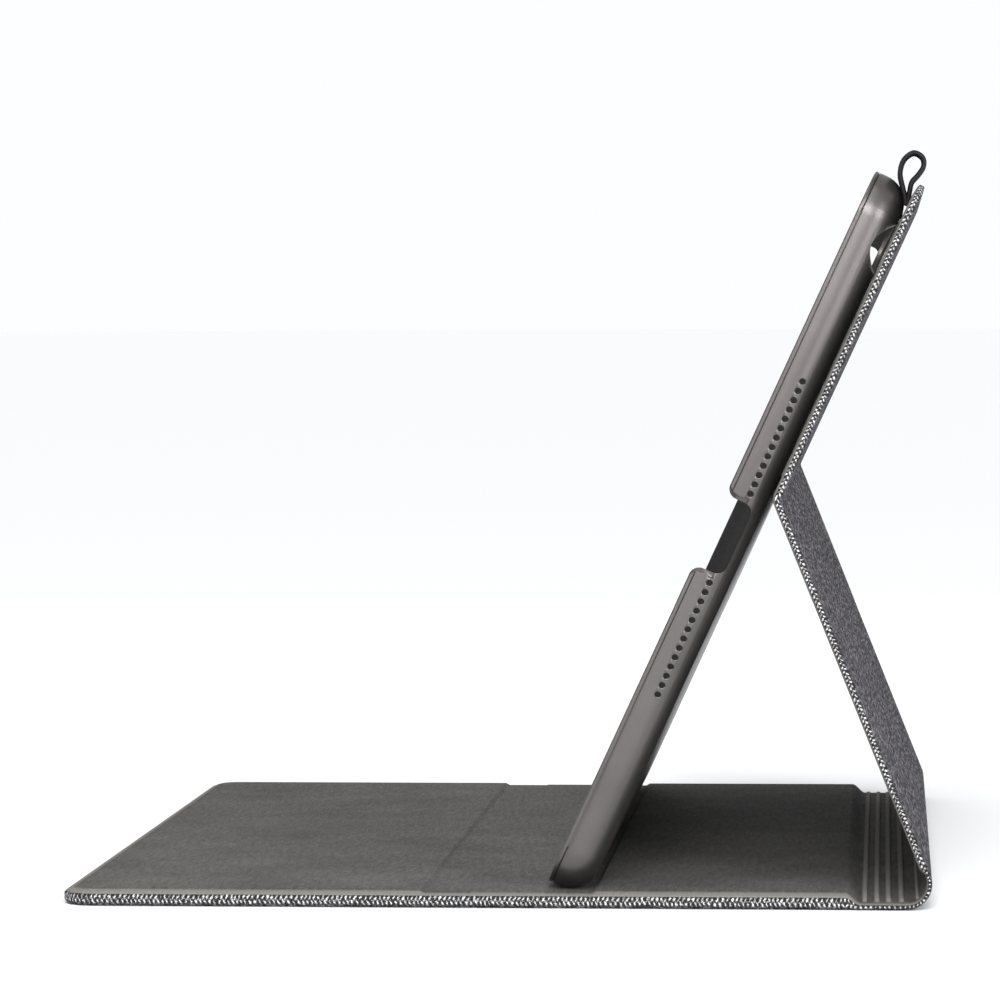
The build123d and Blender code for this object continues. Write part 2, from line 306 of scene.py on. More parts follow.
def cloth_panel(name, length, corner, face, top, to_case, reach=6.0):
    """Cloth under a panel with one hinged side: the edge section carried round three sides, with
    flat faces between. to_case takes distance from the hinge, y and height to the case's frame."""
    side = np.arange(0, length - corner, edge_step)
    end_steps = int(2 * (case_half - corner) / edge_step)
    rim, inward, run, _ = rim_points(length, corner, side, 50, end_steps)
    inset, height, stand, share = cloth_edge(face, top, reach)
    beat = yarn_beat(run)[:, None] + 0 * share
    swell = yarn_relief * stand * yarn_swell(beat, share)
    place = rim[:, None, :] + inward[:, None, :] * (inset - swell)[..., None]
    rows, cols = place.shape[:2]
    points = to_case(place[..., 0], place[..., 1], height + 0 * place[..., 0])
    slope = np.concatenate([[0], np.cumsum(np.hypot(np.diff(inset), np.diff(height)))])
    uv = rim[:, None, :] + inward[:, None, :] * (reach - slope)[None, :, None]
    ring = np.arange(rows) * cols
    ends = [np.arange(cols), (rows - 1) * cols + np.arange(cols)[::-1]]
    hinge = [ring[0], ring[-1], ring[-1] + cols - 1, ring[0] + cols - 1]
    faces = [*quads(rows, cols), *ends, hinge, ring[::-1], ring + cols - 1]
    return piece_of(name, points, faces, cloth, uv, beat=beat, share=share + 0 * beat,
                    rim=stand + 0 * beat, tall=two_row_share(top - face) + 0 * beat)


def on_cover(along, y, z):
    """The cover lies flat, with its free end towards -X."""
    return np.stack([cover_max[0] - along, y, z], -1)


cloth = woven_cloth()
cover_cloth = cloth_panel("cover_cloth", cover_length, cover_corner, 0.0, cover_hem_top, on_cover)
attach(cover_cloth, "front_cover")
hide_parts("cover_fabric")


# ---- Front cover, board, pads and magnets ----
# Grey board stiffens the cover. Thin foam pads on it leave two channels between them, and flat
# plated magnets lie in the board: four hold the case shut and four hold the tray's lower edge.
def board():
    """Pressed grey board: flecked fibres of two sizes, a little lighter where they bunch."""
    f = Finish("board")
    place = f.node("TexCoord").outputs["Object"]
    fleck = f.noise(place, 900.0, 4.0, 0.7)
    bunch = f.noise(place, 120.0, 2.0)
    shade = f.ramp(f.math("ADD", f.math("MULTIPLY", fleck, 0.7), f.math("MULTIPLY", bunch, 0.3)),
                   [(0.3, (0.11, 0.1, 0.09)), (0.7, (0.3, 0.285, 0.26))])
    bump = f.node("Bump", Strength=0.4, Distance=0.0001, Height=fleck)
    return f.surface(Base_Color=shade, Roughness=0.92, Normal=bump)


def foam():
    """Closed-cell foam: small round cells, painted darker in their hollows and paler on their raised walls:
    painted shade.
    """
    f = Finish("foam")
    place = f.node("TexCoord").outputs["Object"]
    cells = f.node("TexVoronoi", {"feature": "F1"}, Vector=place, Scale=1600.0)
    # Painted shade: darker towards each cell's middle, where the bump is lowest.
    shade = f.ramp(cells.outputs["Distance"], [(0.1, 0.03), (0.6, 0.09)])
    bump = f.node("Bump", Strength=0.5, Distance=0.0001, Height=cells.outputs["Distance"])
    return f.surface(Base_Color=shade, Roughness=0.95, Normal=bump)


def plating():
    """Nickel plating with fine scratches that run along the magnet."""
    f = Finish("magnet_plating")
    place = f.node("TexCoord").outputs["Object"]
    stretched = f.node("Mapping", Vector=place, Scale=(4000.0, 120.0, 4000.0))
    scratch = f.noise(stretched.outputs[0], 1.0, 3.0)
    rough = f.ramp(scratch, [(0.3, 0.22), (0.7, 0.42)])
    return f.surface(Base_Color=(0.62, 0.6, 0.57, 1), Metallic=1.0, Roughness=rough)


def finish_node(node, material):
    """Gives a CAD node its material."""
    held = frame["nodes"][node].data.materials
    held.clear()
    held.append(material)


def foam_pad(name, low, high, corners):
    """A pad between two corners of a box in millimetres, skived thin round its edge. Its outline
    has a quarter circle of its own radius at each corner, carried inwards up the skived slope."""
    angle = np.linspace(0, np.pi / 2, 9)
    ways = ((-1, -1), (1, -1), (1, 1), (-1, 1))
    insets = np.array([0.1, 0.0, 0.35, 1.4, 2.1, 2.5])
    heights = np.array([0.0, 0.06, 0.2, 0.78, 0.96, 1.0]) * (high[2] - low[2]) + low[2]
    rings = []
    for inset in insets:
        ring = []
        for number, ((x, y), radius) in enumerate(zip(ways, corners)):
            small = max(radius - inset, 0.05)
            centre = np.array([(high if x > 0 else low)[0] - x * (inset + small),
                               (high if y > 0 else low)[1] - y * (inset + small)])
            turn = angle + np.pi + number * np.pi / 2
            ring.append(centre + small * np.stack([np.cos(turn), np.sin(turn)], 1))
        rings.append(np.concatenate(ring))
    flat = np.stack(rings)
    rows, cols = flat.shape[:2]
    points = np.concatenate([flat, np.repeat(heights[:, None, None], cols, 1)], 2)
    return piece_of(name, points, tube_faces(rows, cols), foam_finish, flat)


board_finish = board()
foam_finish = foam()
finish_node("cover_board", board_finish)
end_corner = cover_corner - 0.6
cut_corner = 0.3
pad_corners = {
    "outer": (end_corner, cut_corner, cut_corner, end_corner),
    "middle": (cut_corner,) * 4,
    "inner": (cut_corner,) * 4,
}
for part, corners in pad_corners.items():
    pad_low, pad_high = (np.array(corner) * 1000 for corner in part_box(f"cover_pad_{part}"))
    pad = foam_pad(f"foam_pad_{part}", pad_low, pad_high, corners)
    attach(pad, "front_cover")
    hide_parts(f"cover_pad_{part}")
magnet_finish = plating()
finish_node("closing_magnets", magnet_finish)
finish_node("stand_magnets", magnet_finish)


# ---- Front cover, lining ----
# One sheet of microfibre suede is bonded over the pads and pressed down into the two channels.
# A hot rule leaves a line round it three millimetres in, and outside that line it slopes away.
channel_height = 3.1
middle_height = 3.25
channels = ((56.6, 66.6), (83.9, 93.9))
outer_wall = 1.3
inner_wall = 0.5
lining_tuck = 0.2
cover_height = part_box("cover_lining")[1][2] * 1000


def suede():
    """Microfibre in UV millimetres: short nap in tufts, brushed across the case in streaks and
    clouds. Where it is pressed thin, on the border and over ribs, its colour is painted paler: a painted
    highlight."""
    f = Finish("suede_lining")
    uv = f.node("UVMap").outputs[0]
    nap = f.noise(uv, 2.6, 3.0, 0.65)
    tuft = f.noise(uv, 0.75, 2.0)
    streak = f.noise(f.node("Mapping", Vector=uv, Scale=(0.9, 0.13, 1.0)).outputs[0], 1.0, 3.0, 0.6)
    cloud = f.noise(uv, 0.035, 3.0, 0.6)
    tone = 0.5
    for part, amount in ((nap, 1.1), (tuft, 0.3), (streak, 0.3), (cloud, 0.25)):
        tone = f.math("ADD", tone, f.math("MULTIPLY", f.math("SUBTRACT", part, 0.5), amount))
    shade = f.ramp(tone, [(0.3, (0.025, 0.0237, 0.0218)), (0.5, (0.065, 0.0616, 0.057)),
                          (0.7, (0.132, 0.126, 0.118))])
    pressed = f.node("Attribute", {"attribute_name": "pressed"}).outputs["Fac"]
    # Painted highlight: the colour mixes towards a pale tone where the attribute is high.
    nap_with_painted_highlight = f.mix(pressed, shade.outputs[0], (0.26, 0.248, 0.23, 1))
    bump = f.node("Bump", Strength=0.35, Distance=0.0001, Height=nap)
    return f.surface(Base_Color=nap_with_painted_highlight, Roughness=0.95, Normal=bump, Specular_IOR_Level=0.06,
                     Sheen_Weight=0.03, Sheen_Roughness=0.5)


def lining_edge():
    """Section of lining at an edge: inset, share of its height above its underside, share of the
    border's fall, and how much painted highlight it carries. It rises at the edge, slopes up over the
    skived pad, dips at the pressed line and runs on flat."""
    inset = np.array([0.5, 0.38, 0.36, 0.42, 0.55, 0.8, 1.1, 1.5, 2.0, 2.45, 2.75, 3.0, 3.2, 3.45, 3.9, 5.0])
    share = np.concatenate([[0, 0.1, 0.6, 0.9], np.ones(12)])
    slope = np.clip(1 - inset / 3.2, 0, 1) ** 1.35
    line = 0.12 * np.exp(-(((inset - 3.2) / 0.25) ** 2))
    # Painted highlight: the border outside the pressed line is painted paler.
    pressed = 0.5 * ease((2.9 - inset) / 1.4)
    return inset, share, slope + line, pressed


def cover_relief(along):
    """Lining height across the cover: level, with smooth walls down into the two channels."""
    height = np.full_like(along, cover_height)
    (a, b), (c, d) = channels
    slopes = (
        (a - outer_wall, outer_wall, channel_height - cover_height),
        (b, inner_wall, middle_height - channel_height),
        (c - inner_wall, inner_wall, channel_height - middle_height),
        (d, outer_wall, cover_height - channel_height),
    )
    for start, width, rise in slopes:
        height = height + rise * ease((along - start) / width)
    return height


def lining_panel(name, length, corner, side, top_of, bottom, border_height, to_case):
    """Lining on a panel with one hinged side: its edge section carried round three sides, a grid
    of the height inside it, and a flat underside."""
    end_steps = 60
    rim, inward, _, first = rim_points(length, corner, side, 14, end_steps)
    inset, share, drop, pressed = lining_edge()
    place = rim[:, None, :] + inward[:, None, :] * inset[:, None]
    top = top_of(place[..., 0])
    height = bottom + share * (top - drop * (top - border_height) - bottom)
    rows, cols = height.shape
    inner = place[:, -1]
    near, far = inner[: first], inner[::-1][: first]
    step = np.linspace(0, 1, end_steps + 1)[1:-1]
    fill = near[:, None, :] + (far - near)[:, None, :] * step[:, None]
    fill_height = top_of(fill[..., 0])
    flat = np.concatenate([place.reshape(-1, 2), fill.reshape(-1, 2)])
    points = to_case(flat[:, 0], flat[:, 1], np.concatenate([height.ravel(), fill_height.ravel()]))
    ring = np.arange(rows) * cols + cols - 1
    start = rows * cols
    inside = start + np.arange(first * len(step)).reshape(first, len(step))
    grid = np.concatenate([ring[:first, None], inside, ring[::-1][:first, None]], 1)
    grid = np.concatenate([grid, ring[None, first : rows - first]], 0)
    corners = np.stack([grid[:-1, :-1], grid[:-1, 1:], grid[1:, 1:], grid[1:, :-1]], -1).reshape(-1, 4)
    hinge = [*grid[0], *((rows - 1) * cols + np.arange(cols)[::-1][1:]), *np.arange(cols)[:-1]]
    faces = [*quads(rows, cols)[:, ::-1], *corners, hinge[::-1], np.arange(rows) * cols]
    pressed = np.concatenate([(pressed + 0 * height).ravel(), 0 * fill_height.ravel()])
    return piece_of(name, points, faces, suede_finish, flat, pressed=pressed)


suede_finish = suede()
walls = [np.linspace(x - 1.6, x + 1.6, 17) for channel in channels for x in channel]
side = np.unique(np.round(np.concatenate([np.arange(0, cover_length - cover_corner, 1.5), *walls]), 3))
border_height = cover_hem_top + 0.06
cover_lining = lining_panel("cover_lining_sheet", cover_length, cover_corner, side, cover_relief,
                            cover_hem_top - lining_tuck, border_height, on_cover)
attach(cover_lining, "front_cover")
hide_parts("cover_lining")


# ---- Crease between cover and spine ----
# Cloth and lining run on without board between them, so the cover can turn. From here the sheets
# go along the spine, round its edge, up the lower back, over the fold and up the upper back.
joints = {joint["name"]: joint for joint in frame["joints"]}
edge_centre = np.array(joints["spine_bend"]["pos_m"])[[0, 2]] * 1000
fold_centre = np.array(joints["back_fold"]["pos_m"])[[0, 2]] * 1000
lower_lean = np.radians(-joints["spine_bend"]["range_deg"][0])
upper_lean = lower_lean - np.radians(joints["back_fold"]["range_deg"][1])
edge_radius = edge_centre[1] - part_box("spine_fabric")[0][2] * 1000
crease_x = cover_max[0]
spine_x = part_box("spine_fabric")[0][0] * 1000
fold_inner = 1.1
panel_thickness = 1.9
strip_thickness = 1.2


def heading(angle):
    """Unit direction in the side view, X and Z."""
    return np.stack([np.cos(angle), np.sin(angle)], -1)


def left_of(angle):
    """Unit direction a quarter turn further: from cloth to lining."""
    return heading(angle + np.pi / 2)


lower_foot = edge_centre - edge_radius * left_of(lower_lean)
lower_top = fold_centre + fold_inner * left_of(lower_lean)
upper_foot = fold_centre + fold_inner * left_of(upper_lean)
spine_start = spine_x - crease_x
spine_end = edge_centre[0] - crease_x
lower_start = spine_end + edge_radius * lower_lean
lower_end = lower_start + (lower_top - lower_foot) @ heading(lower_lean)
upper_start = lower_end + fold_inner * (lower_lean - upper_lean)


def on_course(s, y, z):
    """Points at distance s along the cloth from the cover's hinged edge, at y, and z up from the
    cloth's face: straight, round the edge's centre, straight, round the fold's, straight."""
    turn = np.clip((s - spine_end) / edge_radius, 0, lower_lean)
    back = lower_lean - np.clip((s - lower_end) / fold_inner, 0, lower_lean - upper_lean)
    angle = np.where(s > lower_end, back, turn)
    flat = np.stack([crease_x + s, 0 * s + edge_centre[1] - edge_radius], -1)
    ways = (
        (spine_end, edge_centre - edge_radius * left_of(turn)),
        (lower_start, lower_foot + (s - lower_start)[..., None] * heading(lower_lean)),
        (lower_end, fold_centre + fold_inner * left_of(back)),
        (upper_start, upper_foot + (s - upper_start)[..., None] * heading(upper_lean)),
    )
    place = flat
    for start, way in ways:
        place = np.where((s > start)[..., None], way, place)
    place = place + z[..., None] * left_of(angle)
    return np.stack([place[..., 0], y, place[..., 1]], -1)


def along(start, end, step):
    """Even places from start to end, no more than a step apart."""
    return np.linspace(start, end, int(np.ceil((end - start) / step)) + 1)


def cloth_strip(name, start, end, face_of, top_of, reach=6.0):
    """Cloth over one stretch of the course: the edge section at both ends of each row, joined
    across the face, and capped at the first and last row."""
    s = along(start, end, edge_step)
    sections = [cloth_edge(face, top, reach) for face, top in zip(face_of(s), top_of(s))]
    inset, height, stand, share = (np.array(values) for values in zip(*sections))
    beat = yarn_beat(s)[:, None] + 0 * share
    tall = two_row_share(top_of(s) - face_of(s))[:, None] + 0 * share
    inset = inset - yarn_relief * stand * yarn_swell(beat, share)
    inward, upward = (np.diff(values, prepend=values[:, :1]) for values in (inset, height))
    slope = np.cumsum(np.hypot(inward, upward), 1)
    y = np.concatenate([inset - case_half, (case_half - inset)[:, ::-1]], 1)
    v = np.concatenate([reach - slope - case_half, (case_half - reach + slope)[:, ::-1]], 1)
    z = np.concatenate([height, height[:, ::-1]], 1)
    rows, cols = y.shape
    run = np.repeat(s[:, None], cols, 1)
    values = {"beat": beat, "share": share, "rim": stand, "tall": tall}
    values = {key: np.concatenate([value, value[:, ::-1]], 1) for key, value in values.items()}
    uv = np.stack([run, v], -1)
    return piece_of(name, on_course(run, y, z), tube_faces(rows, cols), cloth, uv, **values)


def lining_strip(name, start, end, bottom_of, top_of, border_of, relief=None):
    """Lining over one stretch of the course: a flat underside, and a top with its edge section at
    both sides. relief adds a height from distance along and y."""
    s = along(start, end, 0.12 if relief else 0.5)
    inset, share, drop, pressed = lining_edge()
    middle = np.linspace(9.0, 2 * case_half - 9.0, 9)
    y = np.concatenate([inset, middle, 2 * case_half - inset[::-1]]) - case_half
    share, drop, pressed = (np.concatenate([values, np.full(9, values[-1]), values[::-1]])
                            for values in (share, drop, pressed))
    rows, cols = len(s), len(y)
    run = np.repeat(s[:, None], cols, 1)
    y = np.repeat(y[None, :], rows, 0)
    bottom, top, border = (values(s)[:, None] for values in (bottom_of, top_of, border_of))
    raised = relief(run, y) if relief else 0.0 * run
    z = bottom + share * (top - border * drop - bottom + raised)
    # Painted highlight: the lining is also painted paler over the rib tops.
    pressed = np.clip(pressed + 0.75 * raised / 0.5, 0, 0.9)
    uv = np.stack([run, y], -1)
    return piece_of(name, on_course(run, y, z), tube_faces(rows, cols), suede_finish, uv, pressed=pressed)


def level(height):
    """The same height all along the course."""
    return lambda s: np.full_like(s, height)


def settle(start_height, end_height, start, end):
    """Height that eases from one level to another between two places on the course."""
    return lambda s: start_height + (end_height - start_height) * ease((s - start) / (end - start))


lift = edge_centre[1] - edge_radius
strip_hem = 0.92
panel_hem = 1.42
strip_border_fall = 0.24
panel_border_fall = 0.44
crease_cloth = cloth_strip("crease_cloth", 0.0, spine_start, settle(-lift, 0.0, 0.0, spine_start),
                           settle(cover_hem_top - lift, strip_hem, 0.0, spine_start))
crease_lining = lining_strip("crease_lining", 0.0, spine_start,
                             settle(cover_hem_top - lining_tuck - lift, strip_hem - lining_tuck,
                                    0.0, spine_start),
                             settle(cover_height - lift, strip_thickness, 0.0, spine_start),
                             settle(cover_height - border_height, strip_border_fall, 0.0, spine_start))
for piece, node, slot in ((crease_cloth, "cover_crease_fabric", "woven_fabric"),
                          (crease_lining, "cover_crease_lining", "suede_lining")):
    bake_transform(piece)
    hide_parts(node)


# ---- Spine ----
# The strip that the case stands on. Flat plastic ribs lie under its lining, which is pressed down
# between them, so they show as five raised lines; the fifth is on the rounded edge.
rib_width = 1.25
rib_height = 0.5
rib_half_length = case_half - 2.6


def ribs(places):
    """Height of the lining over ribs: a rounded hump at each place, easing out at its two ends."""
    def relief(s, y):
        height = 0.0 * s
        for place in places:
            hump = np.clip(1 - np.abs((s - place) / rib_width * 2) ** 3, 0, 1)
            height = height + rib_height * np.sqrt(hump) * ease((rib_half_length - np.abs(y)) / 1.6)
        return height
    return relief


spine_ribs = [sum(corner[0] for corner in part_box(f"spine_rib_{n}")) * 500 - crease_x for n in (1, 2, 3, 4)]
spine_cloth = cloth_strip("spine_cloth", spine_start, spine_end, level(0.0), level(strip_hem))
spine_lining = lining_strip("spine_lining_sheet", spine_start, spine_end, level(strip_hem - lining_tuck),
                            level(strip_thickness), level(strip_border_fall), ribs(spine_ribs))
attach(spine_cloth, "spine")
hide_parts("spine_fabric")
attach(spine_lining, "spine")
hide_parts("spine_lining", *[f"spine_rib_{n}" for n in (1, 2, 3, 4)])


# ---- Rounded edge of the spine ----
# The same sheets bend up into the lower back, in two pieces fixed in place: the first part round
# the edge, and the last few degrees up to the lower back's foot.
edge_turn = 95.0
edge_split = spine_end + edge_radius * np.radians(edge_turn)
rib_box = [np.array(corner)[[0, 2]] * 1000 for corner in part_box("spine_rib_5")]
rib_arm = (rib_box[0] + rib_box[1]) / 2 - edge_centre
edge_rib = spine_end + edge_radius * (np.arctan2(rib_arm[1], rib_arm[0]) + np.pi / 2)
edge_ribs = ribs([edge_rib])
edge_cloth = cloth_strip("edge_cloth", spine_end, edge_split, level(0.0), level(strip_hem))
edge_lining = lining_strip("edge_lining", spine_end, edge_split, level(strip_hem - lining_tuck),
                           level(strip_thickness), level(strip_border_fall), edge_ribs)
lean_cloth = cloth_strip("lean_cloth", edge_split, lower_start, level(0.0), level(strip_hem))
lean_lining = lining_strip("lean_lining", edge_split, lower_start, level(strip_hem - lining_tuck),
                           level(strip_thickness), level(strip_border_fall))
for piece in (edge_cloth, edge_lining):
    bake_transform(piece)
for piece in (lean_cloth, lean_lining):
    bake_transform(piece)
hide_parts("back_crease_fabric")
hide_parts("back_crease_lining", "spine_rib_5")


# ---- Lower back ----
# A stiff panel of board between cloth and lining, which props the tray up. Cloth and lining meet
# the board's edges a little way from each crease.
taper_end = lower_start + 2.0
lower_cloth = cloth_strip("lower_back_cloth", lower_start, lower_end, level(0.0),
                          settle(strip_hem, panel_hem, lower_start, taper_end))
lower_lining = lining_strip("lower_back_lining_sheet", lower_start, lower_end,
                            settle(strip_hem - lining_tuck, panel_hem - lining_tuck, lower_start, taper_end),
                            settle(strip_thickness, panel_thickness, lower_start, taper_end),
                            level(panel_border_fall))
finish_node("lower_back_board", board_finish)
for piece, node, slot in ((lower_cloth, "lower_back_fabric", "woven_fabric"),
                          (lower_lining, "lower_back_lining", "suede_lining")):
    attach(piece, "lower_back")
    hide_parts(node)


# ---- Fold between the back panels ----
# A crease without board, with the lining on the outside of the bend, in two pieces fixed in
# place: its first part round the fold and the rest.
fold_foot_turn = 8.0
fold_split = lower_end + fold_inner * np.radians(fold_foot_turn)
for part, start, end in (("foot", lower_end, fold_split), ("head", fold_split, upper_start)):
    fold_cloth = cloth_strip(f"fold_cloth_{part}", start, end, level(0.0), level(panel_hem))
    fold_lining = lining_strip(f"fold_lining_{part}", start, end, level(panel_hem - lining_tuck),
                               level(panel_thickness), level(panel_border_fall))
    for piece, slot in ((fold_cloth, "woven_fabric"), (fold_lining, "suede_lining")):
        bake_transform(piece)
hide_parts("fold_fabric")
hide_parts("fold_lining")


# ---- Upper back ----
# The panel that the tray is bonded to: board between cloth and lining, with round top corners and
# a punched hole behind the tablet's camera.
board_top = 1.4
upper_foot_height = upper_foot[1] + board_top * np.cos(upper_lean)
upper_length = (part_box("upper_back_fabric")[1][2] * 1000 - upper_foot_height) / np.sin(upper_lean)
upper_corner = 7.5
openings = {space["name"]: np.array(space["box_m"]) * 1000
            for space in frame["record"]["physics"]["openings"]}
camera_middle = openings["camera_hole"].mean(0)
camera_hole_radius = 6.0


def on_upper_back(distance, y, z):
    """Points of the course at a distance from the upper back's foot."""
    return on_course(upper_start + distance, y, z)


def punch(piece, middle, lean, radius, reach=4.0):
    """Cuts a round hole through a closed mesh, square to a panel that leans at an angle."""
    angle = np.linspace(0, 2 * np.pi, 72, endpoint=False)
    up, across = heading(lean), left_of(lean)
    rings = []
    for side in (-reach, reach):
        x = middle[0] + radius * np.cos(angle) * up[0] + side * across[0]
        z = middle[2] + radius * np.cos(angle) * up[1] + side * across[1]
        rings.append(np.stack([x, middle[1] + radius * np.sin(angle), z], -1))
    cols = len(angle)
    points = np.stack(rings)
    cutter = piece_of("cutter", points, tube_faces(2, cols), piece.data.materials[0], points[..., :2])
    cut = piece.modifiers.new("hole", "BOOLEAN")
    cut.operation = "DIFFERENCE"
    cut.solver = "EXACT"
    cut.object = cutter
    shown = piece.evaluated_get(bpy.context.evaluated_depsgraph_get())
    mesh = bpy.data.meshes.new_from_object(shown)
    piece.modifiers.clear()
    piece.data = mesh
    bpy.data.objects.remove(cutter)


upper_cloth = cloth_panel("upper_back_cloth", upper_length, upper_corner, 0.0, panel_hem, on_upper_back)
upper_lining = lining_panel("upper_back_lining_sheet", upper_length, upper_corner,
                            np.arange(0, upper_length - upper_corner - 0.5, 2.0),
                            level(panel_thickness), panel_hem - lining_tuck,
                            panel_thickness - panel_border_fall, on_upper_back)
for piece, node, slot in ((upper_cloth, "upper_back_fabric", "woven_fabric"),
                          (upper_lining, "upper_back_lining", "suede_lining")):
    punch(piece, camera_middle, upper_lean, camera_hole_radius)
    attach(piece, "upper_back")
    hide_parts(node)
finish_node("upper_back_board", board_finish)


# ---- Tray ----
# The tray that the tablet snaps into is one moulding of satin grey plastic, a millimetre and a half
# thick, with a fine line under its rim. Clear tape bonds it to the upper back.
def moulded_plastic():
    """Satin plastic with a fine metallic pigment: moulded grain and slight flow clouds."""
    f = Finish("tray_plastic")
    place = f.node("TexCoord").outputs["Object"]
    grain = f.noise(place, 3500.0, 2.0)
    cloud = f.noise(place, 45.0, 3.0)
    shade = f.ramp(cloud, [(0.3, (0.09, 0.082, 0.081)), (0.7, (0.105, 0.096, 0.095))])
    rough = f.ramp(f.math("ADD", f.math("MULTIPLY", grain, 0.5), f.math("MULTIPLY", cloud, 0.5)),
                   [(0.3, 0.32), (0.7, 0.4)])
    bump = f.node("Bump", Strength=0.12, Distance=0.00005, Height=grain)
    return f.surface(Base_Color=shade, Metallic=0.85, Roughness=rough, Normal=bump)


def painted_shade_inside():
    """The tray's inside, painted near black as a painted shade, with the coarse spark-eroded grain of
    its mould, rubbed paler in clouds where a tablet has lain on it."""
    f = Finish("tray_inside_painted_shade")
    place = f.node("TexCoord").outputs["Object"]
    grain = f.noise(place, 1500.0, 3.0)
    worn = f.noise(place, 30.0, 4.0, 0.6)
    tone = f.math("ADD", f.math("MULTIPLY", grain, 0.5), f.math("MULTIPLY", worn, 0.5))
    shade = f.ramp(tone, [(0.35, (0.006, 0.0056, 0.0056)), (0.65, (0.015, 0.014, 0.014))])
    bump = f.node("Bump", Strength=0.3, Distance=0.0001, Height=grain)
    return f.surface(Base_Color=shade, Roughness=0.62, Normal=bump, Specular_IOR_Level=0.3)


def tape():
    """Clear acrylic tape with small trapped bubbles."""
    f = Finish("clear_tape")
    place = f.node("TexCoord").outputs["Object"]
    bubbles = f.ramp(f.noise(place, 420.0, 3.0), [(0.4, (0.28, 0.28, 0.27)), (0.6, (0.42, 0.42, 0.41))])
    return f.surface(Base_Color=bubbles, Roughness=0.3)


def merged_copy(node, name, material):
    """A CAD node's shape with its loose triangles joined, smooth except at its real edges."""
    mesh = frame["nodes"][node].data.copy()
    shape = bmesh.new()
    shape.from_mesh(mesh)
    bmesh.ops.remove_doubles(shape, verts=shape.verts, dist=2e-6)
    bmesh.ops.dissolve_degenerate(shape, dist=1e-6, edges=shape.edges)
    shape.to_mesh(mesh)
    shape.free()
    mesh.name = name
    mesh.polygons.foreach_set("use_smooth", np.ones(len(mesh.polygons), bool))
    mesh.set_sharp_from_angle(angle=np.radians(28))
    mesh.materials.clear()
    mesh.materials.append(material)
    made = bpy.data.objects.new(name, mesh)
    bpy.context.scene.collection.objects.link(made)
    normals = made.modifiers.new("even_shading", "WEIGHTED_NORMAL")
    normals.keep_sharp = True
    return made


side_margin = 1.4
hole_margin = 1.6
tray = merged_copy("tray_shell", "tray", moulded_plastic())
# The inside faces get a near-black finish, a painted shade so that the speaker holes read dark.
tray.data.materials.append(painted_shade_inside())
# Inside faces look at the pocket, and lie a margin in from the sides and over the camera hole.
centres = np.array([face.center for face in tray.data.polygons]) * 1000
outward = np.array([face.normal for face in tray.data.polygons])
pocket = np.mean([openings[f"tablet_pocket_{part}"].mean(0) for part in ("low", "middle", "high")], 0)
over_back = (centres - camera_middle)[:, [0, 2]] @ left_of(upper_lean)
faces_in = ((pocket - centres) * outward).sum(1) > 0
off_sides = np.abs(centres[:, 1]) < np.abs(centres[:, 1]).max() - side_margin
inside = faces_in & off_sides & (over_back > hole_margin)
tray.data.polygons.foreach_set("material_index", inside.astype(np.int32))
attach(tray, "upper_back")
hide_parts("tray_shell")
finish_node("tray_adhesive", tape())


# ---- Pen loop ----
# A band of black woven elastic, folded into a drop and caught by its two ends between the tray and
# the upper back. Cords run along it under a flat cover of fine yarn.
loop_y = sum(corner[1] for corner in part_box("pen_loop")) * 500
loop_half_width = (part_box("pen_loop")[1][1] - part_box("pen_loop")[0][1]) * 500
loop_half_thick = 0.54
loop_corner = np.array([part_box("pen_loop")[0][0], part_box("pen_loop")[1][2]]) * 1000
loop_line = loop_corner + np.array([
    (1.75, -12.0), (1.72, -10.4), (1.2, -8.2), (0.62, -5.0), (1.45, -2.05), (3.6, -0.5),
    (5.55, -1.5), (5.82, -3.45), (4.65, -5.35), (3.25, -6.95), (2.75, -8.9), (2.45, -10.6), (1.95, -12.1)])


def smooth_line(controls, steps):
    """Catmull-Rom curve through the controls: on each span a cubic set by its ends and neighbours."""
    held = np.concatenate([[2 * controls[0] - controls[1]], controls, [2 * controls[-1] - controls[-2]]])
    t = np.linspace(0, len(controls) - 1, steps * (len(controls) - 1) + 1)
    i = np.minimum(t.astype(int), len(controls) - 2)
    u = (t - i)[:, None]
    a, b, c, d = (held[i + k] for k in range(4))
    return 0.5 * (2 * b + (c - a) * u + (2 * a - 5 * b + 4 * c - d) * u**2 + (3 * b - a - 3 * c + d) * u**3)


def elastic():
    """Black elastic in UV millimetres: cords along it, bound by yarns across, painted paler on their
    raised crowns and darker between them: painted highlight and shade.
    """
    f = Finish("woven_elastic")
    cord_pitch = 0.9
    bind_pitch = 0.42
    uv = f.node("UVMap").outputs[0]
    axes = f.node("SeparateXYZ", Vector=uv)
    cord = f.math("SINE", f.math("MULTIPLY", axes.outputs[1], 2 * np.pi / cord_pitch))
    bind = f.math("SINE", f.math("MULTIPLY", axes.outputs[0], 2 * np.pi / bind_pitch))
    weave = f.math("ADD", f.math("MULTIPLY", cord, 0.35), f.math("MULTIPLY", bind, 0.15))
    fibre = f.math("MULTIPLY", f.noise(uv, 5.0), 0.2)
    tone = f.math("ADD", f.math("ADD", weave, 0.5), fibre)
    # Painted highlight and shade: the colour rises with the weave's relief.
    shade = f.ramp(tone, [(0.2, (0.003, 0.003, 0.0035)), (1.0, (0.014, 0.013, 0.015))])
    bump = f.node("Bump", Strength=0.5, Distance=0.00012, Height=weave)
    return f.surface(Base_Color=shade, Roughness=0.75, Normal=bump, Specular_IOR_Level=0.2)


